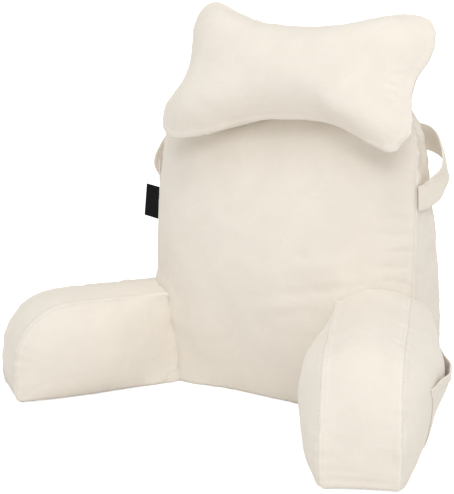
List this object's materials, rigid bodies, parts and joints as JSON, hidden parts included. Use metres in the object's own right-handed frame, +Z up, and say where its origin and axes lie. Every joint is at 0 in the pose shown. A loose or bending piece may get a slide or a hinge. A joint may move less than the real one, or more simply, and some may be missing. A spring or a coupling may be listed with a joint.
{
  "type": "reading pillow",
  "caption": "Plush backrest cushion with splayed armrests, a bone-shaped head pillow, side handles and a side pocket, for sitting up in bed.",
  "frame": {"origin": "middle of the bounding box, on the surface the pillow stands on", "axes": "+Z up, -Y towards the sitter's feet, +X towards the arm with the pocket"},
  "size_m": [0.8396, 0.4852, 0.6492],
  "materials": {
    "cream_plush": "soft short-pile plush",
    "black_tape": "flat woven tape"
  },
  "bodies": {
    "root": {"backrest": "cream_plush", "arm_left": "cream_plush", "arm_right": "cream_plush", "head_pillow": "cream_plush", "handle_left": "cream_plush", "handle_right": "cream_plush", "pocket_right": "cream_plush", "side_tag": "black_tape"}
  },
  "joints": []
}
